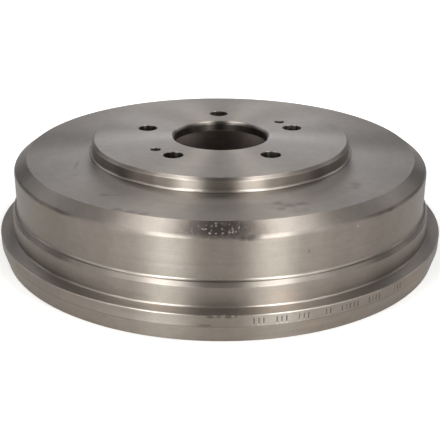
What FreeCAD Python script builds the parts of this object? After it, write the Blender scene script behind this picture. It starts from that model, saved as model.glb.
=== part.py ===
import FreeCAD, Part
import os
import Sketcher

# Brake drum, one iron casting turned on its working faces.
# Frame: the drum's axis is Z. It stands on its open rim at Z = 0, with the wheel face on top.
# All lengths are millimetres.

doc = FreeCAD.newDocument("BrakeDrum")

# Driving sizes

SIZES = {
    # working surface
    "friction_dia": (295.0, "inside diameter that the shoes run on, new"),
    "runout_height": (7.0, "axial height of the tool run-out between the working surface and the web"),
    "runout_depth": (1.5, "depth of the tool run-out past the working surface"),
    "runout_slope": (1.5, "axial length of the slope into the run-out"),
    "shoe_lead": (1.5, "lead-in chamfer at the open end of the working surface"),
    # heights from the rim plane
    "overall_height": (84.5, "rim plane to wheel face"),
    "pad_rise": (10.0, "wheel face above the shoulder face"),
    "pad_web": (8.0, "thickness of the web under the wheel face"),
    "shoulder_web": (7.5, "thickness of the web under the shoulder face"),
    "flange_height": (20.4, "top of the rim flange"),
    "flange_land": (8.2, "height of the flange's straight outer face, above its tapered foot"),
    "band_height": (17.8, "top of the stiffening band above the flange"),
    # wall and shoulder
    "wall": (10.0, "wall thickness behind the working surface"),
    "band_rise": (3.5, "how far the stiffening band stands out of the wall"),
    "band_chamfer": (1.8, "chamfer on the band's upper edge"),
    "shoulder_run": (9.65, "radial length of the sloping shoulder"),
    "shoulder_drop": (7.05, "height of the sloping shoulder"),
    "shoulder_radius": (4.0, "rounding where the shoulder meets the wall"),
    # rim flange and its channel
    "flange_rise": (10.0, "how far the flange stands out of the stiffening band"),
    "foot_taper": (3.4, "how far the flange tapers in at its foot, on the radius"),
    "skirt": (5.0, "thickness of the skirt at the rim plane"),
    "channel_depth": (12.0, "depth of the channel that takes the backing plate's edge"),
    "lip": (5.5, "thickness of the lip between the channel and the working surface"),
    "lip_setback": (2.5, "how far the lip stays above the rim plane"),
    "channel_draft": (0.8, "how far each channel wall leans, mouth to bottom"),
    "edge_break": (0.4, "broken sharp edges on the flange"),
    # hub pad
    "hub_face_dia": (170.0, "flat face inside that seats on the hub"),
    "pad_margin": (13.75, "how far the pad reaches outside the hub face, on the radius"),
    "pad_chamfer": (2.1, "chamfer round the wheel face"),
    "hub_recess_flare": (6.0, "how much wider the recess round the hub face is at its mouth, on the radius"),
    # holes
    "bore_dia": (72.0, "pilot bore that centres the drum on the hub"),
    "bore_chamfer": (2.0, "chamfer at the outer end of the pilot bore"),
    "bore_back_chamfer": (1.0, "chamfer at the hub end of the pilot bore"),
    "bolt_circle_dia": (120.0, "circle through the wheel studs and the jacking holes"),
    "stud_count": (5, "number of wheel stud holes"),
    "stud_hole_dia": (14.5, "clearance hole for a wheel stud"),
    "stud_hole_mouth": (15.1, "diameter of the broken edge of a stud hole"),
    "jack_count": (2, "number of threaded jacking holes"),
    "jack_hole_dia": (6.8, "tapping diameter of a jacking hole"),
    "jack_hole_mouth": (8.4, "diameter of a jacking hole's countersink"),
    "jack_angle": (18.0, "angle between a jacking hole and the nearest stud hole"),
    # casting and tool radii
    "pad_foot_radius": (1.8, "radius at the foot of the hub pad"),
    "ledge_radius": (1.6, "radius between the wall and the band's ledge"),
    "flange_radius": (2.0, "radius between the band and the flange"),
    "corner_radius": (5.0, "radius in the corner between the run-out and the web"),
    "recess_radius": (4.0, "radii at the foot and the mouth of the hub recess"),
    "channel_radius": (2.0, "radii in the bottom of the rim channel"),
}

sheet = doc.addObject("Spreadsheet::Sheet", "Sizes")
for row, (alias, (value, meaning)) in enumerate(SIZES.items(), start=1):
    sheet.set(f"A{row}", meaning)
    sheet.set(f"B{row}", str(value))
    sheet.setAlias(f"B{row}", alias)
doc.recompute()

# Radii and heights that follow from the driving sizes, each as one expression

FRICTION = "Sizes.friction_dia / 2"
WALL = f"{FRICTION} + Sizes.wall"
BAND = f"{WALL} + Sizes.band_rise"
SHOULDER = f"{WALL} - Sizes.shoulder_run"
FLANGE = f"{BAND} + Sizes.flange_rise"
FOOT = f"{FLANGE} - Sizes.foot_taper"
RUNOUT = f"{FRICTION} + Sizes.runout_depth"
HUB_FACE = "Sizes.hub_face_dia / 2"
PAD = f"{HUB_FACE} + Sizes.pad_margin"
RECESS_MOUTH = f"{HUB_FACE} + Sizes.hub_recess_flare"
BORE = "Sizes.bore_dia / 2"
CHANNEL_INNER = f"{FRICTION} + Sizes.lip"
CHANNEL_OUTER = f"{FOOT} - Sizes.skirt"

TOP = "Sizes.overall_height"
SHOULDER_TOP = f"{TOP} - Sizes.pad_rise"
SHOULDER_FOOT = f"{SHOULDER_TOP} - Sizes.shoulder_drop"
PAD_UNDERSIDE = f"{TOP} - Sizes.pad_web"
WEB_UNDERSIDE = f"{SHOULDER_TOP} - Sizes.shoulder_web"
FLANGE_TOP = "Sizes.flange_height"
FOOT_TOP = f"{FLANGE_TOP} - Sizes.flange_land"
LEDGE = f"{FLANGE_TOP} + Sizes.band_height"
RUNOUT_START = f"{WEB_UNDERSIDE} - Sizes.runout_height"
RUNOUT_FULL = f"{RUNOUT_START} + Sizes.runout_slope"
LIP_END = "Sizes.lip_setback"
RIM = "0"


def size(expression):
    """The present value of an expression in the driving sizes."""
    return float(sheet.evalExpression(expression))


def origin_plane(body, role):
    for feature in body.Origin.OriginFeatures:
        if feature.Role == role:
            return feature
    raise ValueError(f"no origin plane {role}")


def sketch_on(body, name, role):
    sketch = body.newObject("Sketcher::SketchObject", name)
    sketch.AttachmentSupport = [(origin_plane(body, role), "")]
    sketch.MapMode = "FlatFace"
    return sketch


def dimension(sketch, kind, vertex, expression):
    """Places one vertex of the sketch by its distance from the origin along one axis."""
    line, end = vertex
    index = sketch.addConstraint(Sketcher.Constraint(kind, -1, 1, line, end, size(expression)))
    sketch.setExpression(f"Constraints[{index}]", expression)


def closed_profile(sketch, corners):
    """Draws a closed outline of straight lines through corners of (radius, height) expressions.

    A corner that shares its radius or height with the corner before it gets an upright or level
    line, and any other value gets a dimension, so every corner is fixed once.
    """
    points = [FreeCAD.Vector(size(radius), size(height), 0) for radius, height in corners]
    count = len(points)
    for index in range(count):
        sketch.addGeometry(Part.LineSegment(points[index], points[(index + 1) % count]), False)
    for index in range(count):
        sketch.addConstraint(Sketcher.Constraint("Coincident", index, 2, (index + 1) % count, 1))
    for index, (radius, height) in enumerate(corners):
        before = corners[index - 1] if index else (None, None)
        if radius == before[0]:
            sketch.addConstraint(Sketcher.Constraint("Vertical", index - 1))
        else:
            dimension(sketch, "DistanceX", (index, 1), radius)
        if height == before[1]:
            sketch.addConstraint(Sketcher.Constraint("Horizontal", index - 1))
        elif height == RIM:
            sketch.addConstraint(Sketcher.Constraint("PointOnObject", index, 1, -1))
        else:
            dimension(sketch, "DistanceY", (index, 1), height)


def turned(body, name, kind, profile):
    """A revolved solid or a turned groove, once round the drum's axis."""
    feature = body.newObject(f"PartDesign::{kind}", name)
    feature.Profile = profile
    feature.ReferenceAxis = (profile, ["V_Axis"])
    feature.Angle = 360
    doc.recompute()
    return feature


def ring(feature, radius, height):
    """The name of the circular edge of a feature at this radius and height."""
    wanted_radius = size(radius)
    wanted_height = size(height)
    for index, edge in enumerate(feature.Shape.Edges, start=1):
        if isinstance(edge.Curve, Part.Circle):
            same_radius = abs(edge.Curve.Radius - wanted_radius) < 1e-4
            same_height = abs(edge.Curve.Center.z - wanted_height) < 1e-4
            if same_radius and same_height:
                return f"Edge{index}"
    raise ValueError(f"{feature.Label} has no circle of radius {radius} at height {height}")


def rounded(body, name, radius, rings):
    """Fillets circular edges of the body's tip with one radius."""
    base = body.Tip
    feature = body.newObject("PartDesign::Fillet", name)
    feature.Base = (base, [ring(base, *place) for place in rings])
    feature.setExpression("Radius", radius)
    doc.recompute()
    return feature


def bevelled(body, name, leg, rings):
    """Chamfers circular edges of the body's tip at 45 degrees."""
    base = body.Tip
    feature = body.newObject("PartDesign::Chamfer", name)
    feature.Base = (base, [ring(base, *place) for place in rings])
    feature.setExpression("Size", leg)
    doc.recompute()
    return feature


def drilled(body, name, angle, diameter, mouth, count):
    """A ring of equal through holes on the bolt circle, each countersunk at the wheel face."""
    centre = sketch_on(body, f"{name}_centre", "XY_Plane")
    centre.setExpression("AttachmentOffset.Base.z", TOP)
    centre.setExpression("AttachmentOffset.Rotation.Angle", angle)
    centre.addGeometry(Part.Circle(FreeCAD.Vector(size("Sizes.bolt_circle_dia") / 2, 0, 0),
                                   FreeCAD.Vector(0, 0, 1), size(diameter) / 2), False)
    centre.addConstraint(Sketcher.Constraint("PointOnObject", 0, 3, -1))
    dimension(centre, "DistanceX", (0, 3), "Sizes.bolt_circle_dia / 2")
    across = centre.addConstraint(Sketcher.Constraint("Diameter", 0, size(diameter)))
    centre.setExpression(f"Constraints[{across}]", diameter)
    doc.recompute()
    hole = body.newObject("PartDesign::Hole", name)
    hole.Profile = centre
    hole.DepthType = "ThroughAll"
    hole.ThreadType = "None"
    hole.setExpression("Diameter", diameter)
    hole.HoleCutType = "Countersink"
    hole.HoleCutCountersinkAngle = 90
    hole.setExpression("HoleCutDiameter", mouth)
    doc.recompute()
    pattern = body.newObject("PartDesign::PolarPattern", f"{name}s")
    pattern.Originals = [hole]
    pattern.Axis = (centre, ["N_Axis"])
    pattern.Angle = 360
    pattern.setExpression("Occurrences", count)
    body.Tip = pattern
    doc.recompute()
    return pattern


def build_drum():
    body = doc.addObject("PartDesign::Body", "brake_drum")
    body.Label = "brake_drum"

    # The casting's section, from the skirt's foot round the outside to the bore and back along the inside
    section = sketch_on(body, "drum_section", "XZ_Plane")
    closed_profile(section, [
        (CHANNEL_OUTER, RIM),
        (FOOT, RIM),
        (FLANGE, FOOT_TOP),
        (FLANGE, FLANGE_TOP),
        (BAND, FLANGE_TOP),
        (BAND, LEDGE),
        (WALL, LEDGE),
        (WALL, SHOULDER_FOOT),
        (SHOULDER, SHOULDER_TOP),
        (PAD, SHOULDER_TOP),
        (PAD, TOP),
        (BORE, TOP),
        (BORE, PAD_UNDERSIDE),
        (HUB_FACE, PAD_UNDERSIDE),
        (RECESS_MOUTH, WEB_UNDERSIDE),
        (RUNOUT, WEB_UNDERSIDE),
        (RUNOUT, RUNOUT_FULL),
        (FRICTION, RUNOUT_START),
        (FRICTION, LIP_END),
        (CHANNEL_INNER, LIP_END),
        (f"{CHANNEL_INNER} + Sizes.channel_draft", "Sizes.channel_depth"),
        (f"{CHANNEL_OUTER} - Sizes.channel_draft", "Sizes.channel_depth"),
    ])
    doc.recompute()
    turned(body, "turned_casting", "Revolution", section)

    # Radii that the casting and the tool nose leave
    rounded(body, "shoulder_rounding", "Sizes.shoulder_radius", [(WALL, SHOULDER_FOOT)])
    rounded(body, "pad_foot", "Sizes.pad_foot_radius", [(PAD, SHOULDER_TOP)])
    rounded(body, "ledge_root", "Sizes.ledge_radius", [(WALL, LEDGE)])
    rounded(body, "flange_root", "Sizes.flange_radius", [(BAND, FLANGE_TOP)])
    rounded(body, "web_corner", "Sizes.corner_radius", [(RUNOUT, WEB_UNDERSIDE)])
    rounded(body, "hub_recess_radii", "Sizes.recess_radius",
            [(HUB_FACE, PAD_UNDERSIDE), (RECESS_MOUTH, WEB_UNDERSIDE)])
    rounded(body, "channel_roots", "Sizes.channel_radius",
            [(f"{CHANNEL_INNER} + Sizes.channel_draft", "Sizes.channel_depth"),
             (f"{CHANNEL_OUTER} - Sizes.channel_draft", "Sizes.channel_depth")])

    # Turned chamfers
    bevelled(body, "pad_edge", "Sizes.pad_chamfer", [(PAD, TOP)])
    bevelled(body, "band_edge", "Sizes.band_chamfer", [(BAND, LEDGE)])
    bevelled(body, "bore_mouth", "Sizes.bore_chamfer", [(BORE, TOP)])
    bevelled(body, "bore_back", "Sizes.bore_back_chamfer", [(BORE, PAD_UNDERSIDE)])
    bevelled(body, "shoe_entry", "Sizes.shoe_lead", [(FRICTION, LIP_END)])
    bevelled(body, "flange_edges", "Sizes.edge_break",
             [(FLANGE, FLANGE_TOP), (FOOT, RIM), (CHANNEL_OUTER, RIM), (CHANNEL_INNER, LIP_END)])

    # Wheel stud holes, the first towards +Y, and two threaded holes for the screws that push the drum off
    drilled(body, "stud_hole", "90", "Sizes.stud_hole_dia", "Sizes.stud_hole_mouth", "Sizes.stud_count")
    drilled(body, "jack_hole", "90 - 360 / Sizes.stud_count + Sizes.jack_angle",
            "Sizes.jack_hole_dia", "Sizes.jack_hole_mouth", "Sizes.jack_count")
    return body


def check_and_export(bodies):
    """Stops on any failed feature or bad solid, then writes one STEP file for each body."""
    failed = [item.Label for item in doc.Objects if {"Invalid", "Error"} & set(item.State)]
    if failed:
        raise RuntimeError(f"failed features: {failed}")
    for body in bodies:
        if body.Shape.isNull() or not body.Shape.isValid():
            raise RuntimeError(f"{body.Label} has no valid shape")
        if len(body.Shape.Solids) != 1:
            raise RuntimeError(f"{body.Label} isn't one solid")
    os.makedirs("parts", exist_ok=True)
    for body in bodies:
        body.Shape.exportStep(f"parts/{body.Label}.step")
        box = body.Shape.optimalBoundingBox(False, False)
        print(f"{body.Label}: {box.XLength:.2f} x {box.YLength:.2f} x {box.ZLength:.2f} mm, "
              f"{body.Shape.Volume / 1000:.1f} cm3, {len(body.Shape.Faces)} faces")


drum = build_drum()
doc.recompute()
check_and_export([drum])
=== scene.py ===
# %% [markdown]
# # A turned iron brake drum
#
# The part is one casting: a shallow iron bell that stands on its open rim with the wheel face on top.
# Everything round is cut on a lathe, so almost every shape here is one section line turned about the
# Z axis. The looks of such a part come from three things: the section with its small radii, the fine
# rings that the tool leaves, and the way those rings stretch every reflection across themselves.
#
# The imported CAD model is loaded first. It gives the box that this piece has to fill.

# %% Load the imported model
import math

import bpy
import numpy as np
from mathutils import Matrix, Vector


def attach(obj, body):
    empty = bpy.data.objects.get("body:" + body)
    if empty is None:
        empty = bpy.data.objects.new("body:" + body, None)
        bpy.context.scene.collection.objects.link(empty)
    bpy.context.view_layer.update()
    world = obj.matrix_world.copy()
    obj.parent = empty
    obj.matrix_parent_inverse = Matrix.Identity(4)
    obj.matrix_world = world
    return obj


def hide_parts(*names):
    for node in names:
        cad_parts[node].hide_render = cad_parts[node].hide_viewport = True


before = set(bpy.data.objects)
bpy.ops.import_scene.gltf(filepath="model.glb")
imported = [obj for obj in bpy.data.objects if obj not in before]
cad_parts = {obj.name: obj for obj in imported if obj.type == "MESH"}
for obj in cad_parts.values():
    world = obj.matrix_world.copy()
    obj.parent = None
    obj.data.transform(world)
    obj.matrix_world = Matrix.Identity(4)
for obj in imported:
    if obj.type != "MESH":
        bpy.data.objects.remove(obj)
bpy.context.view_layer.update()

# %% [markdown]
# ## The camera
#
# The camera was found by fitting circles: every turned edge and every hole is a circle about one axis
# or on one plane, and each shows as an ellipse. The fit gives the distance, the height of the view
# and the focal length together. A long lens from about 0.7 m keeps the ellipses calm.

# %% Camera
MM = 0.001
CAMERA_DISTANCE = 698.6 * MM      # from the camera to the point it aims at
CAMERA_ELEVATION = math.radians(22.762)
CAMERA_HEADING = math.radians(-91.52)   # which way round the drum the camera stands
CAMERA_ROLL = math.radians(0.312)
AIM = Vector((-0.03 * MM, 0.0, 13.07 * MM))
FOCAL_PIXELS = 867.8
FRAME_PIXELS = 440
SENSOR = 36.0


def around(heading, distance, height=0.0):
    """A point at a distance from the axis, in the direction `heading`, at a height."""
    return Vector((distance * math.cos(heading), distance * math.sin(heading), height))


def look_at(obj, target, roll=0.0):
    """Turns an object so that its -Z axis points at target, then rolls it about that axis."""
    direction = (Vector(target) - obj.location).normalized()
    turn = direction.to_track_quat("-Z", "Y").to_matrix()
    obj.rotation_euler = (turn @ Matrix.Rotation(roll, 3, "Z")).to_euler()


scene = bpy.context.scene
camera_data = bpy.data.cameras.new("camera")
camera_data.sensor_width = SENSOR
camera_data.lens = SENSOR * FOCAL_PIXELS / FRAME_PIXELS
camera = bpy.data.objects.new("camera", camera_data)
scene.collection.objects.link(camera)
level = CAMERA_DISTANCE * math.cos(CAMERA_ELEVATION)
rise = CAMERA_DISTANCE * math.sin(CAMERA_ELEVATION)
camera.location = AIM + around(CAMERA_HEADING, level, rise)
look_at(camera, AIM, CAMERA_ROLL)
scene.camera = camera
print(f"lens {camera_data.lens:.1f} mm, camera at {[round(v, 3) for v in camera.location]}")

# %% [markdown]
# ## The section
#
# On a lathe drawing the drum is half a section: a line from the wheel face over the shoulder, down
# the wall and round the flange, then back along the inside. Each corner is given as radius, height
# and rounding, in millimetres. A list of corners with their own roundings is easier to change than a
# drawn curve, and it keeps the real sizes readable. Even a sharp turned edge has a trace of a radius:
# it is what catches a thin line of light. Above the stiffening band the photograph shows a small ledge
# with a steep bevel, so those two corners are a little finer here than in the CAD model.

# %% Section sizes, in millimetres
WHEEL_FACE = 84.5
SHOULDER_FACE = 74.5
HUB_FACE = 76.5
WEB_UNDERSIDE = 67.0
FRICTION_RADIUS = 147.5
FRICTION_LOW, FRICTION_HIGH = 4.0, 60.0
RUN_OUT_RADIUS, RUN_OUT_LOW = 149.0, 61.5
WALL_RADIUS = 157.5
BAND_RADIUS = 161.0
LEDGE = 37.6
FLANGE_RADIUS, FLANGE_TOP = 171.0, 20.4
FOOT_RADIUS, FOOT_TOP = 167.6, 12.2
CHANNEL_IN, CHANNEL_OUT, CHANNEL_TOP = 153.0, 162.6, 12.0
PAD_RADIUS = 98.75
BORE_RADIUS = 36.0
EDGE = 0.18          # the trace of a radius on a turned edge
MARK_LOW, MARK_HIGH = 14.0, 17.9   # heights of the plain tick marks on the flange

# The stud holes lie in a ring of the pad between these two radii
RING_IN, RING_OUT = 46.0, 74.0

OUTER_SECTION = [
    (RING_OUT, WHEEL_FACE, 0),
    (PAD_RADIUS - 2.1, WHEEL_FACE, 0.3),
    (PAD_RADIUS, WHEEL_FACE - 2.1, 0.3),
    (PAD_RADIUS, SHOULDER_FACE, 1.8),
    (147.85, SHOULDER_FACE, 0.5),
    (WALL_RADIUS, 67.45, 4.0),
    (WALL_RADIUS, LEDGE, 1.4),
    (BAND_RADIUS - 1.8, LEDGE, 0.4),
    (BAND_RADIUS, LEDGE - 3.0, 1.2),
    (BAND_RADIUS, FLANGE_TOP, 1.1),
    (FLANGE_RADIUS - 2.6, FLANGE_TOP, 0),
    (FLANGE_RADIUS - 1.2, FLANGE_TOP, 0),
    (FLANGE_RADIUS - 0.4, FLANGE_TOP, EDGE),
    (FLANGE_RADIUS, 20.0, EDGE),
    (FLANGE_RADIUS, 19.3, 0),
    (FLANGE_RADIUS, MARK_HIGH + 0.1, 0),
    (FLANGE_RADIUS, MARK_HIGH, 0),
    (FLANGE_RADIUS, MARK_LOW, 0),
    (FLANGE_RADIUS, MARK_LOW - 0.1, 0),
    (FLANGE_RADIUS, FOOT_TOP, EDGE),
    (FOOT_RADIUS + 0.11, 0.4, EDGE),
    (FOOT_RADIUS - 0.4, 0, EDGE),
    (163.0, 0, EDGE),
    (CHANNEL_OUT, 0.4, EDGE),
    (161.8, CHANNEL_TOP, 2.0),
    (153.8, CHANNEL_TOP, 2.0),
    (CHANNEL_IN, 2.9, EDGE),
    (152.6, 2.5, EDGE),
    (RUN_OUT_RADIUS, 2.5, EDGE),
    (FRICTION_RADIUS, FRICTION_LOW, EDGE),
    (FRICTION_RADIUS, FRICTION_HIGH, EDGE),
    (RUN_OUT_RADIUS, RUN_OUT_LOW, EDGE),
    (RUN_OUT_RADIUS, WEB_UNDERSIDE, 5.0),
    (91.0, WEB_UNDERSIDE, 4.0),
    (85.0, HUB_FACE, 4.0),
    (RING_OUT, HUB_FACE, 0),
]
BORE_SECTION = [
    (RING_IN, HUB_FACE, 0),
    (BORE_RADIUS + 1.0, HUB_FACE, EDGE),
    (BORE_RADIUS, HUB_FACE + 1.0, EDGE),
    (BORE_RADIUS, WHEEL_FACE - 2.0, 1.6),
    (BORE_RADIUS + 2.0, WHEEL_FACE, EDGE),
    (RING_IN, WHEEL_FACE, 0),
]


def section_line(corners, longest=9.0, arc_step=math.radians(15)):
    """Points and outward normals along a section, each as an array of (radius, height).

    A corner P with rounding q and turn b is cut back by q * tan(b / 2) on both sides. Between the two
    tangent points runs an arc of radius q, whose normal turns evenly from one side to the other.
    Straight stretches are divided evenly, and the normal is the direction turned left by 90 degrees.
    """
    corners = np.array(corners, float)
    place, rounding = corners[:, :2], corners[:, 2]
    step = np.diff(place, axis=0)
    ahead = step / np.linalg.norm(step, axis=1, keepdims=True)
    bearing = np.arctan2(ahead[:, 1], ahead[:, 0])
    points, bearings = [place[:1]], [bearing[:1]]
    for index in range(1, len(place)):
        came = bearing[index - 1]
        turn = 0.0
        if index < len(place) - 1:
            turn = (bearing[index] - came + math.pi) % (2 * math.pi) - math.pi
        cut = rounding[index] * abs(math.tan(turn / 2))
        tangent = place[index] - ahead[index - 1] * cut
        run = np.linalg.norm(tangent - points[-1][-1])
        inner = np.linspace(0, 1, max(1, math.ceil(run / longest)) + 1)[1:-1, None]
        points.append(points[-1][-1] + inner * (tangent - points[-1][-1]))
        bearings.append(np.full(len(inner), came))
        if cut < 1e-9:
            points.append(tangent[None])
            bearings.append(np.array([came + turn / 2]))
            continue
        count = max(2, math.ceil(abs(turn) / arc_step)) + 1 if rounding[index] > 0.5 else 3
        now = came + turn * np.linspace(0, 1, count)
        side = math.copysign(1, turn)
        left = np.stack([-np.sin(now), np.cos(now)], axis=1) * side
        centre = tangent + left[0] * rounding[index]
        points.append(centre - left * rounding[index])
        bearings.append(now)
    points, bearings = np.concatenate(points), np.concatenate(bearings)
    return points, np.stack([-np.sin(bearings), np.cos(bearings)], axis=1)


outer_line, outer_normals = section_line(OUTER_SECTION)
bore_line, bore_normals = section_line(BORE_SECTION)
print(f"section: {len(outer_line)} points outside, {len(bore_line)} in the bore")

# %% [markdown]
# ## Round the axis
#
# The section is turned through a list of angles. Even steps would do for a plain drum, but this one
# has short tick marks stamped on its flange and four small knocks on the flange's upper edge. Those
# need extra angles where they are, and nowhere else, so the list is the even steps plus a few more.

# %% Angles of the turned surface
EVEN_STEP = 1.5
HOLE_CIRCLE = 60.0
STUD_ANGLES = [18.0 + 72.0 * turn for turn in range(5)]
JACK_ANGLES = [36.0, 216.0]
FRONT = math.degrees(CAMERA_HEADING)      # the side that faces the camera

# Groups of plain ticks, in degrees from the front towards the right
MARK_GROUPS = [(7.2, 3), (12.2, 3), (17.2, 3), (23.5, 2), (27.5, 5), (35.0, 4), (43.5, 3)]
MARK_PITCH = 1.05
MARK_WIDTH = 0.34
# Across a tick: its middle and its two edges, and a column on either side that keeps the land flat
MARK_COLUMNS = MARK_WIDTH * np.array([-0.62, -0.5, 0, 0.5, 0.62])
mark_angles = np.concatenate([FRONT + start + MARK_PITCH * np.arange(count)
                              for start, count in MARK_GROUPS])

# Knocks on the edge: angle from the front, half width in degrees, depth in millimetres
KNOCKS = [(-1.9, 1.2, 0.32), (-0.2, 0.8, 0.2), (1.7, 1.1, 0.3), (3.2, 0.7, 0.18)]
knock_angles = FRONT + np.arange(-3.6, 4.4, 0.2)

angles = np.concatenate([
    np.arange(0, 360, EVEN_STEP),
    (mark_angles[:, None] + MARK_COLUMNS).ravel() % 360,
    knock_angles % 360,
])
angles = np.unique(np.round(angles, 4))
print(f"{len(angles)} angles, {len(mark_angles)} tick marks")

# %% [markdown]
# A small store collects the patches: each one is a grid of points with its normals, its faces and the
# number of its finish. Points that patches share along a seam are merged at the end by their place,
# which closes the surface, while every face keeps the normals of its own patch. That way a flat face
# stays flat right up to the rim of a hole.

# %% Store of surface patches
TURNED, CAST, DRILLED, BORED, FRICTION = 0, 1, 2, 3, 4
patches = []


def add_grid(points, normals, finish, grime_and_shade=None):
    """Keeps a grid of points (rows, columns, 3) as quads that face along rows x columns."""
    rows, columns = points.shape[:2]
    index = np.arange(rows * columns).reshape(rows, columns)
    quads = np.stack([index[:-1, :-1], index[1:, :-1], index[1:, 1:], index[:-1, 1:]], axis=-1)
    finish = np.broadcast_to(np.asarray(finish), (rows - 1, columns - 1))
    grime_and_shade = np.zeros((rows, columns)) if grime_and_shade is None else grime_and_shade
    patches.append((points.reshape(-1, 3), normals.reshape(-1, 3), quads.reshape(-1, 4),
                    finish.reshape(-1), grime_and_shade.reshape(-1)))


def turned(line, normals, degrees):
    """Turns a section about Z: x = r cos a, y = r sin a, z = z, and its normals the same way."""
    a = np.radians(degrees)[None, :]
    radius, height = line[:, :1], line[:, 1:]
    points = np.stack([radius * np.cos(a), radius * np.sin(a), height + 0 * a], axis=-1)
    n_radius, n_height = normals[:, :1], normals[:, 1:]
    facing = np.stack([n_radius * np.cos(a), n_radius * np.sin(a), n_height + 0 * a], axis=-1)
    return points, facing


# %% [markdown]
# ## The outside, with its marks
#
# Tick marks and knocks are real dents, so they are moved points and not only shading. A tick is a V:
# its middle line goes in and its two edges stay. A knock takes metal off the corner, most at the
# edge itself, and fades both ways along it. A number on each point darkens them for the material:
# dirt in the knocks, dirt with painted shade in the ticks' grooves.

# %% Turn the outside and press the marks in
MARK_DEPTH = 0.2
KNOCK_REACH = 2.2                        # how far a knock is felt from the edge
KNOCK_IN, KNOCK_DOWN = 0.6, 0.8          # shares of a knock's depth, towards the axis and down
KNOCK_DIRTY, KNOCK_GRIME = 0.25, 0.6     # a knock this deep is full of dirt; the most that shows
closed = np.append(angles, angles[0] + 360)
points, normals = turned(outer_line, outer_normals, closed)
radius, height = outer_line[:, :1], outer_line[:, 1:]
axis_out = np.stack([np.cos(np.radians(closed)), np.sin(np.radians(closed)), 0 * closed], axis=-1)


def apart(first, second):
    """The angle from second to first, in degrees from -180 to 180."""
    return (first - second + 180) % 360 - 180


on_land = np.abs(radius - FLANGE_RADIUS) < 1e-6
in_mark = on_land & (height < MARK_HIGH + 1e-6) & (height > MARK_LOW - 1e-6)
is_middle = np.abs(apart(closed[:, None], mark_angles[None, :])).min(axis=1) < 0.001
mark_depth = MARK_DEPTH * (in_mark & is_middle[None, :])

from_edge = np.hypot(radius - FLANGE_RADIUS, height - FLANGE_TOP)
outside_corner = (radius > BAND_RADIUS + 4) & (height > 15)
fade = np.clip(1 - from_edge / KNOCK_REACH, 0, 1) * outside_corner
knock_depth = np.zeros((1, len(closed)))
for centre, half, depth in KNOCKS:
    away = apart(closed, FRONT + centre) / half
    knock_depth = np.maximum(knock_depth, depth * np.clip(1 - away ** 2, 0, 1)[None] ** 2)
knock_depth = fade * knock_depth

points = points - axis_out[None] * (mark_depth + KNOCK_IN * knock_depth)[..., None]
points[..., 2] -= KNOCK_DOWN * knock_depth
moved = (mark_depth + knock_depth) > 0
near = moved.copy()
near[1:] |= moved[:-1]
near[:-1] |= moved[1:]
near[:, 1:] |= moved[:, :-1]
near[:, :-1] |= moved[:, 1:]
normals[near] = 0          # a zero normal means: work it out from the faces

line_radius, line_height = outer_line.T
under_web = (line_height > RUN_OUT_LOW + 1e-6) & (line_height < HUB_FACE - 0.4)
under_web &= (line_radius < RUN_OUT_RADIUS + 0.3) & (np.arange(len(outer_line)) > len(outer_line) // 2)
in_channel = (line_radius > CHANNEL_IN + 0.2) & (line_radius < CHANNEL_OUT - 0.2)
in_channel &= line_height < CHANNEL_TOP + 0.1
as_cast = under_web | in_channel
rough_rows = as_cast[:-1] & as_cast[1:]
on_friction = (line_radius < FRICTION_RADIUS + 0.1) & (line_height > FRICTION_LOW - 0.5)
on_friction &= line_height < FRICTION_HIGH + 0.5
friction_rows = on_friction[:-1] & on_friction[1:]
finish = np.select([rough_rows, friction_rows], [CAST, FRICTION], TURNED)
grime_and_shade = np.clip(mark_depth / MARK_DEPTH + np.minimum(knock_depth / KNOCK_DIRTY, KNOCK_GRIME), 0, 1)
add_grid(points, normals, finish[:, None], grime_and_shade)

points, normals = turned(bore_line, bore_normals, closed)
in_bore = np.abs(bore_line[:, 0] - BORE_RADIUS) < 0.1
bored_rows = in_bore[:-1] & in_bore[1:]
add_grid(points, normals, np.where(bored_rows, BORED, TURNED)[:, None])
print(f"{int(moved.sum())} points moved for marks and knocks, {int(rough_rows.sum())} rough rows")

# %% [markdown]
# ## The ring of holes
#
# A plain grid can't hold a round hole. Each hole gets a cell of the ring instead: its outer loop is the
# four-sided border of the cell, its inner loop is the round edge of the hole, and straight lines join
# the two, point by point. The border's points are the ring's own, so the cell fits in with no gap.
# Cutting the holes with a boolean is shorter, but it leaves long thin faces that shade badly.

# %% Cells and plain stretches of the ring
RING_STEPS = 15
ring_radii = np.linspace(RING_IN, RING_OUT, RING_STEPS)
HALF_CELL = {**dict.fromkeys(STUD_ANGLES, 10.5), **dict.fromkeys(JACK_ANGLES, 7.5)}
# Angle, radius of the wall, radius of the mouth, and whether it is tapped
HOLES = [(angle, 7.25, 7.55, False) for angle in STUD_ANGLES]
HOLES += [(angle, 3.4, 4.2, True) for angle in JACK_ANGLES]


def cell_border(centre, half):
    """The closed border of a cell, anticlockwise from above, starting in the middle of its outer side."""
    a = closed[np.abs(apart(closed, centre)) < half + 1e-3]
    a = np.unique(np.round(centre + apart(a, centre), 4))
    sides = [(np.full(len(a), RING_OUT), a), (ring_radii[::-1], np.full(RING_STEPS, a[-1])),
             (np.full(len(a), RING_IN), a[::-1]), (ring_radii, np.full(RING_STEPS, a[0]))]
    r = np.concatenate([side[0][:-1] for side in sides])
    t = np.radians(np.concatenate([side[1][:-1] for side in sides]))
    border = np.stack([r * np.cos(t), r * np.sin(t)], axis=1)
    start = int(np.argmin(np.abs(a - centre)))
    return np.roll(border, -start, axis=0)


def hole_loops(centre, border):
    """Unit directions from the hole's centre, one for each border point, spread by border length."""
    length = np.linalg.norm(np.diff(np.vstack([border, border[:1]]), axis=0), axis=1)
    share = np.concatenate([[0], np.cumsum(length)[:-1]]) / length.sum()
    t = math.radians(centre) + 2 * math.pi * share
    return np.stack([np.cos(t), np.sin(t)], axis=1)


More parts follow.
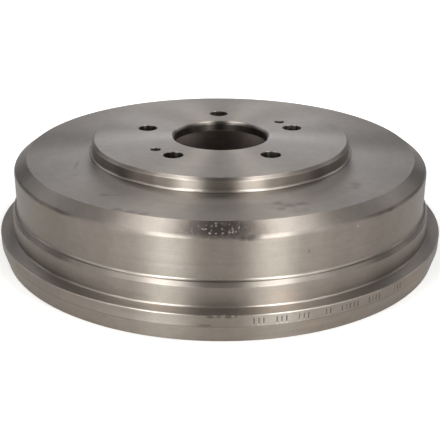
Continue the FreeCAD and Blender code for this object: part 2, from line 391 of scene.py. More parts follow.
in_cell = np.zeros(len(closed) - 1, bool)
middle = (closed[:-1] + closed[1:]) / 2
for angle, half in HALF_CELL.items():
    in_cell |= np.abs(apart(middle, angle)) < half
plain = np.flatnonzero(~in_cell)
stretches = np.split(plain, np.flatnonzero(np.diff(plain) > 1) + 1)
for height_of_face, up in ((WHEEL_FACE, 1), (HUB_FACE, -1)):
    radii = ring_radii if up > 0 else ring_radii[::-1]
    line = np.stack([radii, np.full(RING_STEPS, height_of_face)], axis=1)
    facing = np.broadcast_to([0.0, float(up)], line.shape)
    for stretch in stretches:
        columns = closed[stretch[0]: stretch[-1] + 2]
        points, normals = turned(line, facing, columns)
        add_grid(points, normals, TURNED)
print(f"{len(stretches)} plain stretches between {len(HOLES)} holes")

# %% [markdown]
# The walls of the holes hang on the same loops. A stud hole is a plain drilled wall under a small
# countersink. A jacking hole is tapped M8: its radius follows a triangle wave that climbs one pitch
# in each turn, which is all that a thread is. The wave fades out at both ends, where a chamfer opens
# the first turns.

# %% Walls of the holes
THREAD_PITCH = 1.25
THREAD_DEPTH = 0.6
THREAD_LEVELS, PLAIN_LEVELS = 78, 5
# How dark the tapped walls are made: painted shade down the thread
THREAD_PAINTED_SHADE = 0.9


def thread(height, turn_angle):
    """Depth of a V thread: a triangle wave of height / pitch minus the share of a turn.

    The wave is cut flat at its crests and roots, as the standard has it.
    """
    phase = (height / THREAD_PITCH - turn_angle / (2 * np.pi)) % 1
    wave = np.clip(1.15 - np.abs(2 * phase - 1) * 1.3, 0, 1)
    lower_end = np.clip((height - HUB_FACE) / 0.9, 0, 1)
    upper_end = np.clip((WHEEL_FACE - 0.8 - height) / 0.5, 0, 1)
    return THREAD_DEPTH * wave * lower_end * upper_end


for angle, wall_radius, mouth_radius, tapped in HOLES:
    border = cell_border(angle, HALF_CELL[angle])
    spokes = hole_loops(angle, border)
    border, spokes = np.vstack([border, border[:1]]), np.vstack([spokes, spokes[:1]])
    centre = HOLE_CIRCLE * np.array([math.cos(math.radians(angle)), math.sin(math.radians(angle))])
    round_angle = 2 * np.pi * np.linspace(0, 1, len(spokes))
    for face_height, rim, up in ((WHEEL_FACE, mouth_radius, 1), (HUB_FACE, wall_radius, -1)):
        share = np.array([0, 0.25, 0.6, 1])[:, None, None]
        flat = centre + rim * spokes[None] * (1 - share) + (border[None] - centre) * share
        flat = flat[::up]
        points = np.concatenate([flat, np.full(flat.shape[:2] + (1,), face_height)], axis=-1)
        normals = np.broadcast_to([0.0, 0.0, float(up)], points.shape)
        add_grid(points, normals, TURNED)
    sink = WHEEL_FACE - (mouth_radius - wall_radius)
    levels = np.linspace(HUB_FACE, sink, THREAD_LEVELS if tapped else PLAIN_LEVELS)[:, None]
    wall = np.full((len(levels), len(spokes)), wall_radius)
    if tapped:
        wall = wall + thread(levels, round_angle[None])
    flat = centre + wall[..., None] * spokes[None]
    points = np.concatenate([flat, np.broadcast_to(levels[..., None], flat.shape[:2] + (1,))], axis=-1)
    inwards = np.concatenate([-spokes, np.zeros((len(spokes), 1))], axis=1)
    normals = np.broadcast_to(inwards, points.shape) * (0 if tapped else 1)
    add_grid(points, normals, DRILLED, np.full(points.shape[:2], THREAD_PAINTED_SHADE * tapped))
    flat = centre + np.array([wall_radius, mouth_radius])[:, None, None] * spokes[None]
    levels = np.broadcast_to(np.array([sink, WHEEL_FACE])[:, None, None], flat.shape[:2] + (1,))
    slope = np.concatenate([-spokes, np.ones((len(spokes), 1))], axis=1) / math.sqrt(2)
    points = np.concatenate([flat, levels], axis=-1)
    add_grid(points, np.broadcast_to(slope, points.shape), DRILLED)
print(f"{len(patches)} patches so far")

# %% [markdown]
# ## One closed mesh
#
# The patches are laid end to end, points in the same place become one, and the mesh gets the normals
# that each face brought along. A closed solid of quads has exactly two faces on every edge, which is
# easy to count.


# %% Join the patches into the drum
def joined(parts):
    """Points in metres, quads, loop normals, finishes, and grime with painted shade of all patches,
    merged by place.
    """
    offset = np.cumsum([0] + [len(part[0]) for part in parts[:-1]])
    place = np.concatenate([part[0] for part in parts])
    quads = np.concatenate([part[2] + shift for part, shift in zip(parts, offset)])
    loop_normals = np.concatenate([part[1] for part in parts])[quads]
    finish = np.concatenate([part[3] for part in parts])
    dirt_and_shade = np.concatenate([part[4] for part in parts])
    _, first, same = np.unique(np.round(place, 4), axis=0, return_index=True, return_inverse=True)
    return place[first] * MM, same.reshape(-1)[quads], loop_normals, finish, dirt_and_shade[first]


vertices, quads, loop_normals, finishes, dirt_and_shade = joined(patches)
edges = np.sort(np.stack([quads, np.roll(quads, -1, axis=1)], axis=-1).reshape(-1, 2), axis=1)
_, uses = np.unique(edges, axis=0, return_counts=True)
print(f"{len(vertices)} points, {len(quads)} quads")
print(f"edges with other than two faces: {int((uses != 2).sum())}")

drum_mesh = bpy.data.meshes.new("turned_drum")
drum_mesh.from_pydata(vertices.tolist(), [], quads.tolist())
drum_mesh.polygons.foreach_set("use_smooth", np.ones(len(quads), bool))
drum_mesh.polygons.foreach_set("material_index", finishes.astype(np.int32))
grime_and_shade_layer = drum_mesh.attributes.new("grime_and_shade", "FLOAT", "POINT")
grime_and_shade_layer.data.foreach_set("value", dirt_and_shade.astype(np.float32))
drum_mesh.normals_split_custom_set(loop_normals.reshape(-1, 3).tolist())
drum_mesh.update()
drum = bpy.data.objects.new("turned_drum", drum_mesh)
scene.collection.objects.link(drum)
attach(drum, "root")
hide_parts("brake_drum")

# %% [markdown]
# ## Lathe rings as a node group
#
# A turning tool leaves a spiral so fine that it reads as rings. On a disc the rings are lines of equal
# radius, on a wall they are lines of equal height. One number grows across both: radius plus a share
# of the height. Noise that changes fast with that number, and slowly with the direction round the
# axis, gives rings that swell and fade like real ones. The direction is taken as x / r and y / r and
# not as an angle, so there is no seam.


# %% Helpers for node groups
def new_group(name, inputs, outputs):
    """An empty shader node group with named sockets; returns it with its two end nodes."""
    group = bpy.data.node_groups.new(name, "ShaderNodeTree")
    for label, kind, value in inputs:
        socket = group.interface.new_socket(label, in_out="INPUT", socket_type=kind)
        socket.default_value = value
    for label, kind in outputs:
        group.interface.new_socket(label, in_out="OUTPUT", socket_type=kind)
    return group, group.nodes.new("NodeGroupInput"), group.nodes.new("NodeGroupOutput")


def node(tree, kind, links=(), **settings):
    """Adds a node, sets its properties and its inputs; links are (input, output socket or value)."""
    added = tree.nodes.new(kind)
    for key, value in settings.items():
        setattr(added, key, value)
    for socket, source in dict(links).items():
        if isinstance(source, bpy.types.NodeSocket):
            tree.links.new(source, added.inputs[socket])
        else:
            added.inputs[socket].default_value = source
    return added


def maths(tree, operation, *terms):
    """A Math node on sockets or numbers; returns its output."""
    return node(tree, "ShaderNodeMath", enumerate(terms), operation=operation).outputs[0]


def fit_range(tree, value, low, high, to_low=0.0, to_high=1.0):
    """A clamped Map Range from low..high to to_low..to_high; returns its output."""
    return node(tree, "ShaderNodeMapRange", {"Value": value, "From Min": low, "From Max": high,
                                             "To Min": to_low, "To Max": to_high}).outputs[0]


def length_of(tree, first, second):
    """The square root of first squared plus second squared."""
    return maths(tree, "SQRT", maths(tree, "ADD", maths(tree, "MULTIPLY", first, first),
                                     maths(tree, "MULTIPLY", second, second)))


def object_place(tree):
    """The place of a point in the object's own frame, in metres."""
    return node(tree, "ShaderNodeTexCoord").outputs["Object"]


def noise(tree, place, scale, detail, roughness=0.5):
    """Noise with grains about 1 / scale metres across; returns its value, from 0 to 1."""
    inputs = {"Vector": place, "Scale": scale, "Detail": detail, "Roughness": roughness}
    return node(tree, "ShaderNodeTexNoise", inputs).outputs[0]


# %% The lathe rings
FLOAT, VECTOR = "NodeSocketFloat", "NodeSocketVector"
HEIGHT_SHARE = 1.37      # how much of the height counts beside the radius
rings_group, group_in, group_out = new_group(
    "lathe_rings",
    [("Rings per metre", FLOAT, 900.0), ("Change round the axis", FLOAT, 1.6), ("Detail", FLOAT, 3.0)],
    [("Rings", FLOAT)])
x, y, z = node(rings_group, "ShaderNodeSeparateXYZ", {0: object_place(rings_group)}).outputs
r = length_of(rings_group, x, y)
across = maths(rings_group, "ADD", r, maths(rings_group, "MULTIPLY", z, HEIGHT_SHARE))
way = node(rings_group, "ShaderNodeCombineXYZ", {0: maths(rings_group, "DIVIDE", x, r),
                                                 1: maths(rings_group, "DIVIDE", y, r)}).outputs[0]
slow = node(rings_group, "ShaderNodeVectorMath", {0: way, "Scale": group_in.outputs[1]},
            operation="SCALE").outputs[0]
ring_noise = node(rings_group, "ShaderNodeTexNoise",
                  {"Vector": slow, "W": maths(rings_group, "MULTIPLY", across, group_in.outputs[0]),
                   "Scale": 1.0, "Detail": group_in.outputs[2], "Roughness": 0.6}, noise_dimensions="4D")
rings_group.links.new(ring_noise.outputs[0], group_out.inputs["Rings"])


def rings(tree, per_metre, change=1.6, detail=3.0):
    """Places the ring group in a tree and returns its output."""
    placed = node(tree, "ShaderNodeGroup", node_tree=rings_group)
    for socket, value in zip(placed.inputs, (per_metre, change, detail)):
        socket.default_value = value
    return placed.outputs[0]


# %% [markdown]
# ## Soft spots as a node group
#
# Some blemishes belong to one place: a patch where the cut didn't clean up, a faint stain. A soft
# spot is a value of 1 at a point that falls to 0 at its reach, with its rim broken up by noise.

# %% Soft spots
spot_group, group_in, group_out = new_group(
    "soft_spot",
    [("Centre", VECTOR, (0.0, 0.0, 0.0)), ("Reach", VECTOR, (0.01, 0.01, 0.01)), ("Ragged", FLOAT, 0.5),
     ("Grain", FLOAT, 300.0), ("Core", FLOAT, 0.55)],
    [("Spot", FLOAT)])
place = object_place(spot_group)
offset = node(spot_group, "ShaderNodeVectorMath", {0: place, 1: group_in.outputs[0]},
              operation="SUBTRACT").outputs[0]
scaled = node(spot_group, "ShaderNodeVectorMath", {0: offset, 1: group_in.outputs[1]},
              operation="DIVIDE").outputs[0]
far = node(spot_group, "ShaderNodeVectorMath", {0: scaled}, operation="LENGTH").outputs["Value"]
ragged = maths(spot_group, "SUBTRACT", noise(spot_group, place, group_in.outputs[3], 3.0), 0.5)
uneven = maths(spot_group, "MULTIPLY", ragged, group_in.outputs[2])
far = maths(spot_group, "ADD", far, maths(spot_group, "MULTIPLY", uneven, 2.0))
spot_group.links.new(fit_range(spot_group, far, 1.0, group_in.outputs[4]), group_out.inputs["Spot"])


def spot(tree, degrees, radius, height, reach, ragged=0.5, grain=300.0, core=0.55):
    """A soft spot at `degrees` from the front and a radius and height in millimetres."""
    centre = around(math.radians(FRONT + degrees), radius * MM, height * MM)
    placed = node(tree, "ShaderNodeGroup", node_tree=spot_group)
    for socket, value in zip(placed.inputs, (centre, [v * MM for v in reach], ragged, grain, core)):
        socket.default_value = value
    return placed.outputs[0]


# %% [markdown]
# ## Edge lines as a node group
#
# Each edge and fillet gets a thin painted highlight, partly real wear on the outer edges, and the
# inner corners get painted shade. Both are thin rings round the axis, so one group serves for all: it
# measures how far a point of the section lies from one corner, given as a radius and a height.

# %% Edge lines
edge_group, group_in, group_out = new_group(
    "edge_line",
    [("Radius", FLOAT, 0.1), ("Height", FLOAT, 0.0), ("Reach", FLOAT, 0.001)],
    [("Edge", FLOAT)])
x, y, z = node(edge_group, "ShaderNodeSeparateXYZ", {0: object_place(edge_group)}).outputs
outwards = maths(edge_group, "SUBTRACT", length_of(edge_group, x, y), group_in.outputs[0])
upwards = maths(edge_group, "SUBTRACT", z, group_in.outputs[1])
far = length_of(edge_group, outwards, upwards)
near_edge = maths(edge_group, "SUBTRACT", 1.0, maths(edge_group, "DIVIDE", far, group_in.outputs[2]))
edge_group.links.new(fit_range(edge_group, near_edge, 0.0, 0.6), group_out.inputs["Edge"])


def edge_lines(tree, corners):
    """The strongest of several edge lines; each corner is (radius, height, reach, strength), in mm."""
    strongest = None
    for *lengths, strength in corners:
        inputs = enumerate(length * MM for length in lengths)
        placed = node(tree, "ShaderNodeGroup", inputs, node_tree=edge_group)
        line = maths(tree, "MULTIPLY", placed.outputs[0], strength)
        strongest = line if strongest is None else maths(tree, "MAXIMUM", strongest, line)
    return strongest


# %% [markdown]
# ## Turned iron
#
# Bare grey iron is a metal with a dull, slightly warm grey. Its rings scatter light mostly across
# themselves, so a lamp shows as a long streak that crosses the rings. In the Principled shader that is
# the anisotropic value with a tangent that runs round the axis. Rings change colour and roughness a
# little, and a bump lets single grooves show. Broad clouds brown the metal, and finer blotches keep
# its tone from being even.

# %% Turned iron
IRON_DARK, IRON = (0.304, 0.268, 0.238, 1.0), (0.360, 0.320, 0.286, 1.0)
BROWNED = (0.33, 0.282, 0.245, 1.0)
SHADED, LIT = (0.86, 0.86, 0.86, 1.0), (1.14, 1.14, 1.14, 1.0)     # what blotches multiply the tone by
BROAD_RINGS = (260.0, 1.2, 3.0)         # rings per metre, change round the axis, detail
FINE_RINGS = (1500.0, 2.2, 2.0)
BROAD_SHARE, FINE_SHARE = 0.4, 0.6


def new_material(name):
    """A material with an empty tree; returns it, its tree and its shader."""
    material = bpy.data.materials.new(name)
    material.use_nodes = True
    tree = material.node_tree
    tree.nodes.clear()
    shader = tree.nodes.new("ShaderNodeBsdfPrincipled")
    output = tree.nodes.new("ShaderNodeOutputMaterial")
    tree.links.new(shader.outputs[0], output.inputs[0])
    return material, tree, shader


def mixed(tree, factor, first, second, blend="MIX"):
    """A colour Mix node; returns its output."""
    added = tree.nodes.new("ShaderNodeMix")
    added.data_type = "RGBA"
    added.blend_type = blend
    for socket, source in (("Factor_Float", factor), ("A_Color", first), ("B_Color", second)):
        target = next(s for s in added.inputs if s.identifier == socket)
        if isinstance(source, bpy.types.NodeSocket):
            tree.links.new(source, target)
        else:
            target.default_value = source
    return next(s for s in added.outputs if s.identifier == "Result_Color")


def paint(tree, shader, colour, rough):
    """Links a colour and a roughness to a shader."""
    tree.links.new(colour, shader.inputs["Base Color"])
    tree.links.new(rough, shader.inputs["Roughness"])


def turned_finish(name, roughness, tones=(IRON_DARK, IRON)):
    """Iron with lathe rings: colour between two tones, roughness between the two given values."""
    material, tree, shader = new_material(name)
    broad = maths(tree, "MULTIPLY", rings(tree, *BROAD_RINGS), BROAD_SHARE)
    fine = maths(tree, "MULTIPLY", rings(tree, *FINE_RINGS), FINE_SHARE)
    both = maths(tree, "ADD", broad, fine)
    place = object_place(tree)
    grain = noise(tree, place, 1400.0, 3.0)
    cloud = noise(tree, place, 22.0, 4.0)
    blotch = noise(tree, place, 140.0, 5.0, 0.65)
    colour = mixed(tree, fit_range(tree, both, 0.35, 0.65), *tones)
    colour = mixed(tree, fit_range(tree, cloud, 0.4, 0.7, 0.0, 0.45), colour, BROWNED)
    shade = maths(tree, "MULTIPLY", blotch, 0.28)
    shade = maths(tree, "ADD", shade, maths(tree, "MULTIPLY", grain, 0.22))
    tone = mixed(tree, fit_range(tree, shade, 0.12, 0.38), SHADED, LIT)
    colour = mixed(tree, 1.0, colour, tone, "MULTIPLY")
    uneven = maths(tree, "ADD", both, maths(tree, "MULTIPLY", grain, 0.3))
    rough = fit_range(tree, uneven, 0.4, 0.9, *roughness)
    bump = node(tree, "ShaderNodeBump", {"Strength": 0.25, "Distance": 0.00004, "Height": both})
    tangent = node(tree, "ShaderNodeTangent", direction_type="RADIAL", axis="Z")
    tree.links.new(tangent.outputs[0], shader.inputs["Tangent"])
    tree.links.new(bump.outputs[0], shader.inputs["Normal"])
    shader.inputs["Metallic"].default_value = 1.0
    shader.inputs["Anisotropic"].default_value = 0.9
    shader.inputs["Anisotropic Rotation"].default_value = 0.25
    return material, tree, shader, colour, rough, bump, grain


# %% [markdown]
# The same rings serve for three finishes. The bore is painted near black, as painted shade, the
# friction surface is painted much lighter, as painted light for the dim inside, and all the rest is
# plain turned iron. Only that last one gets the painted highlights on the edges, the painted shade in
# the corners and the blemishes.

# %% The bore, the friction surface and the edges
# Painted shade: the bore's tones are near black
BORE_PAINTED_SHADE = ((0.029, 0.025, 0.022, 1.0), (0.042, 0.036, 0.032, 1.0))
# Painted light: the friction surface is about twice as light as the rest of the iron
FRICTION_PAINTED_LIGHT = ((0.65, 0.55, 0.51, 1.0), (0.78, 0.65, 0.61, 1.0))
bored_iron, tree, shader, colour, rough, *_ = turned_finish("bored_iron", (0.4, 0.5), BORE_PAINTED_SHADE)
paint(tree, shader, colour, rough)
friction_painted_light_iron, tree, shader, colour, rough, *_ = turned_finish("friction_painted_light_iron", (0.38, 0.48), FRICTION_PAINTED_LIGHT)
paint(tree, shader, colour, rough)

# Radius, height and reach in millimetres, and the strength
# Painted highlights along the edges and fillets, partly wear on the outer edges
EDGE_HIGHLIGHT_AND_WEAR = [
    (96.65, 84.5, 0.7, 0.15), (98.75, 82.4, 0.7, 0.4), (99.3, 75.0, 1.3, 0.5),
    (147.85, 74.5, 0.8, 0.15), (157.9, 38.5, 0.9, 0.6), (161.2, 21.0, 0.9, 0.5),
    (171.0, 20.4, 0.9, 0.8), (38.0, 84.5, 0.7, 0.3),
]
# Painted shade in the inner corners, at the foot of the pad and at the bottom of the bore's chamfer
PAINTED_CORNER_SHADE = [
    (159.0, 37.6, 0.5, 0.35), (36.2, 82.7, 1.6, 0.75), (171.0, 12.2, 0.55, 0.25),
    (100.6, 74.5, 1.0, 0.45),
]
WEAR_AND_HIGHLIGHT, DIRT_AND_SHADE = (0.56, 0.51, 0.46, 1.0), (0.05, 0.044, 0.04, 1.0)
turned_iron, tree, shader, colour, rough, bump, grain = turned_finish("turned_iron", (0.345, 0.425))
# Painted highlights on the edges, then painted shade in the corners
edges = edge_lines(tree, EDGE_HIGHLIGHT_AND_WEAR)
colour = mixed(tree, edges, colour, WEAR_AND_HIGHLIGHT)
rough = maths(tree, "SUBTRACT", rough, maths(tree, "MULTIPLY", edges, 0.08))
colour = mixed(tree, edge_lines(tree, PAINTED_CORNER_SHADE), colour, DIRT_AND_SHADE)
print(f"{len(EDGE_HIGHLIGHT_AND_WEAR)} bright edges, {len(PAINTED_CORNER_SHADE)} dark corners")

# %% [markdown]
# The blemishes follow the photograph: a pitted patch on the front bevel with bright specks in it, the
# raw edge under it, a few smears on the shoulder and some small dark spots. Specks and dirt scatter
# light to all sides, so the metal is rougher there, and the specks are the one place that stays light
# where the rest is dark.

# %% The pitted patch
SCALED, SPECK = (0.205, 0.155, 0.145, 1.0), (0.68, 0.63, 0.57, 1.0)
patch = spot(tree, 1.2, 152.6, 71.3, (38.0, 9.0, 7.0), 0.5, 110.0, 0.35)
specked = spot(tree, -1.0, 152.6, 71.3, (24.0, 9.0, 7.0), 0.5, 150.0, 0.5)
raw_edge = spot(tree, 6.4, 157.0, 66.6, (10.5, 5.0, 2.3), 0.7, 230.0, 0.2)
place = object_place(tree)
pits = noise(tree, place, 420.0, 3.0, 0.6)
pitted = maths(tree, "MULTIPLY", patch, fit_range(tree, pits, 0.4, 0.6, 0.35, 0.65))
colour = mixed(tree, pitted, colour, SCALED)
colour = mixed(tree, maths(tree, "MULTIPLY", raw_edge, 0.8), colour, DIRT_AND_SHADE)

# A speck is the middle of a cell, and only some cells have one
cells = node(tree, "ShaderNodeTexVoronoi", {"Vector": place, "Scale": 480.0, "Randomness": 1.0})
uneven = maths(tree, "MULTIPLY", maths(tree, "SUBTRACT", grain, 0.5), 1.6)
speck = fit_range(tree, maths(tree, "ADD", cells.outputs["Distance"], uneven), 0.42, 0.2)
cell_value = node(tree, "ShaderNodeSeparateColor", {0: cells.outputs["Color"]}).outputs[0]
speck = maths(tree, "MULTIPLY", speck, fit_range(tree, cell_value, 0.45, 0.95))
speck = maths(tree, "MULTIPLY", speck, specked)
print(f"pitted patch and specks: {len(tree.nodes)} nodes so far")

# %% Smears, dots and stains
# Degrees from the front, radius, height, and the reach along x, y and z, in millimetres
SMEARS = [
    (18.4, 124.5, 74.5, (7.0, 4.5, 3.0)), (20.6, 130.0, 74.5, (8.5, 4.5, 3.0)),
    (24.5, 130.0, 74.5, (5.5, 3.0, 3.0)), (17.5, 133.5, 74.5, (4.5, 4.0, 3.0)),
    (22.4, 139.5, 74.5, (8.5, 5.0, 3.0)), (-36.3, 129.6, 74.5, (6.5, 3.5, 3.0)),
    (-32.9, 124.2, 74.5, (5.0, 3.0, 3.0)), (-26.9, 145.6, 74.5, (6.0, 3.0, 1.2)),
    (-23.4, 145.3, 74.5, (7.0, 3.0, 1.2)), (-20.0, 145.3, 74.5, (6.0, 3.0, 1.2)),
    (48.5, 125.0, 74.5, (5.0, 8.0, 3.0)), (-67.4, 114.3, 74.5, (2.0, 12.0, 3.0)),
    (-41.0, 156.9, 67.0, (9.0, 7.0, 1.2)), (-52.0, 156.9, 67.0, (9.0, 9.0, 1.2)),
    (47.0, 156.9, 67.0, (9.0, 7.0, 1.2)),
]
DOTS = [
    (-25.9, 170.8, 9.9, (1.6, 1.6, 0.9)), (21.0, 157.5, 53.7, (0.9, 1.1, 1.4)),
    (-3.0, 171.0, 13.3, (6.0, 3.0, 1.0)), (-57.5, 122.0, 74.5, (3.0, 1.0, 1.0)),
]
STAINS = [
    (20.7, 169.0, 8.4, (12.0, 8.0, 5.0)), (50.0, 169.0, 12.0, (22.0, 22.0, 9.0)),
    (15.4, 161.0, 26.5, (14.0, 9.0, 6.0)), (-60.0, 169.0, 10.0, (24.0, 24.0, 9.0)),
    (78.0, 166.0, 20.4, (12.0, 20.0, 5.0)), (-80.0, 166.0, 20.4, (12.0, 20.0, 5.0)),
]
RUSTY, PITTED = (0.42, 0.33, 0.265, 1.0), (0.14, 0.12, 0.11, 1.0)
# Each group with its strength, how ragged its rim is, the grain of that, and its colour
BLEMISHES = [
    (STAINS, 0.5, 0.8, 60.0, RUSTY),
    (SMEARS, 0.5, 1.1, 150.0, PITTED),
    (DOTS, 0.55, 0.9, 260.0, PITTED),
]
for group, strength, ragged, coarse, tone in BLEMISHES:
    for *where, reach in group:
        mark = spot(tree, *where, reach, ragged, coarse, 0.15)
        colour = mixed(tree, maths(tree, "MULTIPLY", mark, strength), colour, tone)
light_dot = spot(tree, 34.4, 157.5, 64.0, (1.3, 1.3, 0.9), 0.6, 260.0)
colour = mixed(tree, maths(tree, "MULTIPLY", light_dot, 0.7), colour, WEAR_AND_HIGHLIGHT)
print(f"{len(SMEARS)} smears, {len(DOTS)} dots, {len(STAINS)} stains")

# %% Grime with painted shade, specks and pits on the turned iron
# Dirt with painted shade in the ticks, dirt in the knocks
grime_and_shade_value = node(tree, "ShaderNodeAttribute", attribute_name="grime_and_shade").outputs["Fac"]
colour = mixed(tree, maths(tree, "MULTIPLY", grime_and_shade_value, 0.92), colour, DIRT_AND_SHADE)
colour = mixed(tree, speck, colour, SPECK)
rough = maths(tree, "ADD", rough, maths(tree, "MULTIPLY", grime_and_shade_value, 0.45))
rough = maths(tree, "ADD", rough, maths(tree, "MULTIPLY", speck, 0.35))
paint(tree, shader, colour, rough)
pit_bump = node(tree, "ShaderNodeBump", {"Strength": 0.5, "Distance": 0.0002, "Normal": bump.outputs[0],
                                         "Height": maths(tree, "MULTIPLY", pits, patch)})
tree.links.new(pit_bump.outputs[0], shader.inputs["Normal"])
print(f"{turned_iron.name}: {len(tree.nodes)} nodes")

# %% [markdown]
# ## As-cast iron and drilled walls
#
# Where no tool went, the surface is the sand mould's: dull, dark and grainy. It shows only from below,
# under the web and in the channel of the rim. Drilled walls are smoother than a casting but have no
# even rings to stretch the light.

# %% As-cast iron and drilled walls
CAST_DARK, CAST_LIGHT = (0.10, 0.095, 0.09, 1.0), (0.19, 0.18, 0.17, 1.0)
as_cast_iron, tree, shader = new_material("as_cast_iron")
sand = noise(tree, object_place(tree), 900.0, 5.0, 0.6)
colour = mixed(tree, fit_range(tree, sand, 0.35, 0.65), CAST_DARK, CAST_LIGHT)
paint(tree, shader, colour, fit_range(tree, sand, 0.3, 0.7, 0.62, 0.82))
bump = node(tree, "ShaderNodeBump", {"Strength": 0.6, "Distance": 0.0002, "Height": sand})
tree.links.new(bump.outputs[0], shader.inputs["Normal"])
shader.inputs["Metallic"].default_value = 0.75

DRILLED_DARK, DRILLED_SHEEN = (0.12, 0.105, 0.095, 1.0), (0.34, 0.31, 0.28, 1.0)
UPRIGHT = (1.0, 1.0, 0.12)       # noise squeezed along the height gives upright streaks
drilled_iron, tree, shader = new_material("drilled_iron")
drill_marks = rings(tree, 1300.0, 0.4, 2.0)
squeezed = node(tree, "ShaderNodeVectorMath", {0: object_place(tree), 1: UPRIGHT},
                operation="MULTIPLY").outputs[0]
# Painted reflections: upright light streaks in the colour of the drilled walls
sheen_streaks = noise(tree, squeezed, 330.0, 2.0)
colour = mixed(tree, fit_range(tree, sheen_streaks, 0.42, 0.6), DRILLED_DARK, DRILLED_SHEEN)
# The tapped walls are darkened towards near black: painted shade
grime_and_shade_value = node(tree, "ShaderNodeAttribute", attribute_name="grime_and_shade").outputs["Fac"]
rough = fit_range(tree, drill_marks, 0.35, 0.65, 0.25, 0.4)
rough = maths(tree, "ADD", rough, maths(tree, "MULTIPLY", grime_and_shade_value, 0.3))
paint(tree, shader, mixed(tree, grime_and_shade_value, colour, DIRT_AND_SHADE), rough)
bump = node(tree, "ShaderNodeBump", {"Strength": 0.3, "Distance": 0.0001, "Height": drill_marks})
tree.links.new(bump.outputs[0], shader.inputs["Normal"])
shader.inputs["Metallic"].default_value = 1.0

# In the order of the finish numbers: TURNED, CAST, DRILLED, BORED, FRICTION
for material in (turned_iron, as_cast_iron, drilled_iron, bored_iron, friction_painted_light_iron):
    drum_mesh.materials.append(material)
print("finishes:", [material.name for material in drum_mesh.materials])

# %% [markdown]
# ## Floor
#
# The drum stands on plain white. A white floor under soft lamps comes out light grey, and stronger
# lamps would spoil the drum. So the floor glows a little, for the camera's own rays only: the drum
# neither reflects the glow nor is lit by it. It starts outside the drum's foot, so the ground that
# shows through the bore stays dark.

# %% Floor
FLOOR = 4.0
GLOW_START = (0.163, 0.1665)          # distance from the axis in metres: no glow inside, full outside
GLOW_REACH = (0.165, 0.5)             # from here to there the glow grows
GLOW_STRENGTH = (0.4, 0.95)
floor_mesh = bpy.data.meshes.new("floor")
floor_corners = [(-FLOOR, -FLOOR, 0), (FLOOR, -FLOOR, 0), (FLOOR, FLOOR, 0), (-FLOOR, FLOOR, 0)]
floor_mesh.from_pydata(floor_corners, [], [(0, 1, 2, 3)])
floor = bpy.data.objects.new("floor", floor_mesh)
scene.collection.objects.link(floor)
floor_paint, tree, shader = new_material("floor_paint")
shader.inputs["Base Color"].default_value = (0.74, 0.72, 0.70, 1.0)
shader.inputs["Roughness"].default_value = 0.9
shader.inputs["Specular IOR Level"].default_value = 0.1
shader.inputs["Emission Color"].default_value = (0.96, 0.98, 1.0, 1.0)
far = node(tree, "ShaderNodeVectorMath", {0: object_place(tree)}, operation="LENGTH").outputs["Value"]
glow = fit_range(tree, far, *GLOW_REACH, *GLOW_STRENGTH)
outside = fit_range(tree, far, *GLOW_START)
only_seen = maths(tree, "MULTIPLY", node(tree, "ShaderNodeLightPath").outputs["Is Camera Ray"], outside)
tree.links.new(maths(tree, "MULTIPLY", glow, only_seen), shader.inputs["Emission Strength"])
floor_mesh.materials.append(floor_paint)
print(f"floor {2 * FLOOR:.0f} m square, glow from {GLOW_START[0] / MM:.0f} mm")

# %% [markdown]
# ## Light
#
# A shiny part shows its surroundings more than itself. Two rows of tall soft key lamps stand left and
# right of the camera with a gap between them. The gap is the dark stripe down the middle of the drum,
# and the lamps are the bright stripes beside it. Weaker fill lamps follow towards the sides, then
# lamps to the side and behind, in pairs, and three single lamps stand on the middle line: two cool
# panels behind that the upper faces reflect, and a high one in front. The small pair named
# through_bore is for what the bore lets through.

# %% Lamps
LAMP_DISTANCE = 2.0
LAMP_TARGET = Vector((0, 0, 0.04))
NEUTRAL, WARM, COOL = (0.955, 1.0, 0.99), (0.985, 0.985, 0.975), (0.93, 0.955, 1.0)
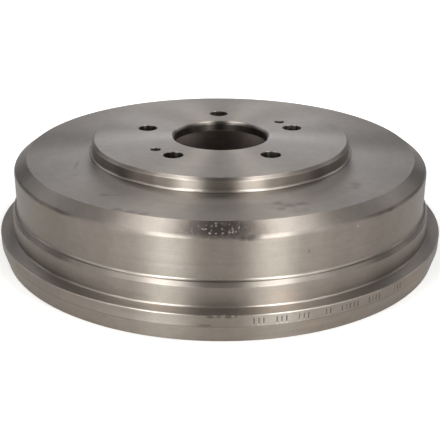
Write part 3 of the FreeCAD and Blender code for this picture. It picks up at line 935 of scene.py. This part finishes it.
# Degrees round from the camera, degrees up, width and height in metres, watts, colour
LAMPS = {
    "key_inner": (20, 12, 0.28, 0.6, 4.9, NEUTRAL),
    "key": (28, 12, 0.28, 0.6, 7.3, NEUTRAL),
    "key_outer": (36, 12, 0.28, 0.6, 2.3, NEUTRAL),
    "key_high": (36, 44, 0.28, 0.6, 5.1, WARM),
    "fill_low": (50, 12, 0.28, 0.6, 1.9, WARM),
    "fill_middle": (50, 44, 0.28, 0.6, 0.5, WARM),
    "fill_high": (50, 66, 0.28, 0.6, 0.35, WARM),
    "side_low": (70, 12, 0.8, 0.6, 1.8, WARM),
    "side_middle": (70, 44, 0.8, 0.6, 1.9, WARM),
    "side_high": (70, 66, 0.8, 0.6, 7.2, WARM),
    "side_far": (95, 44, 0.8, 0.6, 0.6, WARM),
    "side_floor": (105, 17, 0.5, 0.5, 0.6, WARM),
    "through_bore": (20, 26, 0.2, 0.16, 1.2, WARM),
    "back_side_low": (140, 30, 0.8, 0.6, 1.3, COOL),
    "back_side": (125, 40, 0.8, 0.6, 1.2, COOL),
    "back_low": (155, 12, 0.8, 0.6, 0.6, COOL),
    "back_high": (155, 40, 0.8, 0.6, 1.35, COOL),
}
MIDDLE_LAMPS = {
    "back_panel_low": (180, 12, 0.8, 0.6, 3.0, COOL),
    "back_panel_middle": (180, 40, 0.8, 0.6, 2.2, COOL),
    "front_high": (0, 36, 0.6, 0.3, 0.6, WARM),
}


def lamp(name, heading, elevation, width, height, power, colour):
    """A rectangular soft lamp at a heading from the camera and an elevation, aimed at the drum."""
    data = bpy.data.lights.new(name, "AREA")
    data.shape = "RECTANGLE"
    data.size, data.size_y = width, height
    data.energy = power
    data.color = colour
    obj = bpy.data.objects.new(name, data)
    scene.collection.objects.link(obj)
    up = math.radians(elevation)
    out, high = LAMP_DISTANCE * math.cos(up), LAMP_DISTANCE * math.sin(up)
    obj.location = around(CAMERA_HEADING + math.radians(heading), out, high)
    look_at(obj, LAMP_TARGET)


for name, (heading, *rest) in LAMPS.items():
    lamp(name + "_left", -heading, *rest)
    lamp(name + "_right", heading, *rest)
for name, settings in MIDDLE_LAMPS.items():
    lamp(name, *settings)
print(f"{2 * len(LAMPS) + len(MIDDLE_LAMPS)} lamps")

# %% [markdown]
# ## Surroundings
#
# The surroundings are white where the camera sees them and almost dark for all other rays, so the
# lamps alone draw the reflections. The Standard view keeps the colours as they were set.

# %% Surroundings and view
ROOM_LIGHT = 0.02
world = bpy.data.worlds.new("world")
world.use_nodes = True
background = world.node_tree.nodes["Background"]
background.inputs["Color"].default_value = (1.0, 1.0, 1.0, 1.0)
seen = node(world.node_tree, "ShaderNodeLightPath").outputs["Is Camera Ray"]
strength = fit_range(world.node_tree, seen, 0.0, 1.0, ROOM_LIGHT, 1.0)
world.node_tree.links.new(strength, background.inputs["Strength"])
scene.world = world
scene.view_settings.view_transform = "Standard"
scene.view_settings.look = "None"
print(f"room light {ROOM_LIGHT}, view {scene.view_settings.view_transform}")
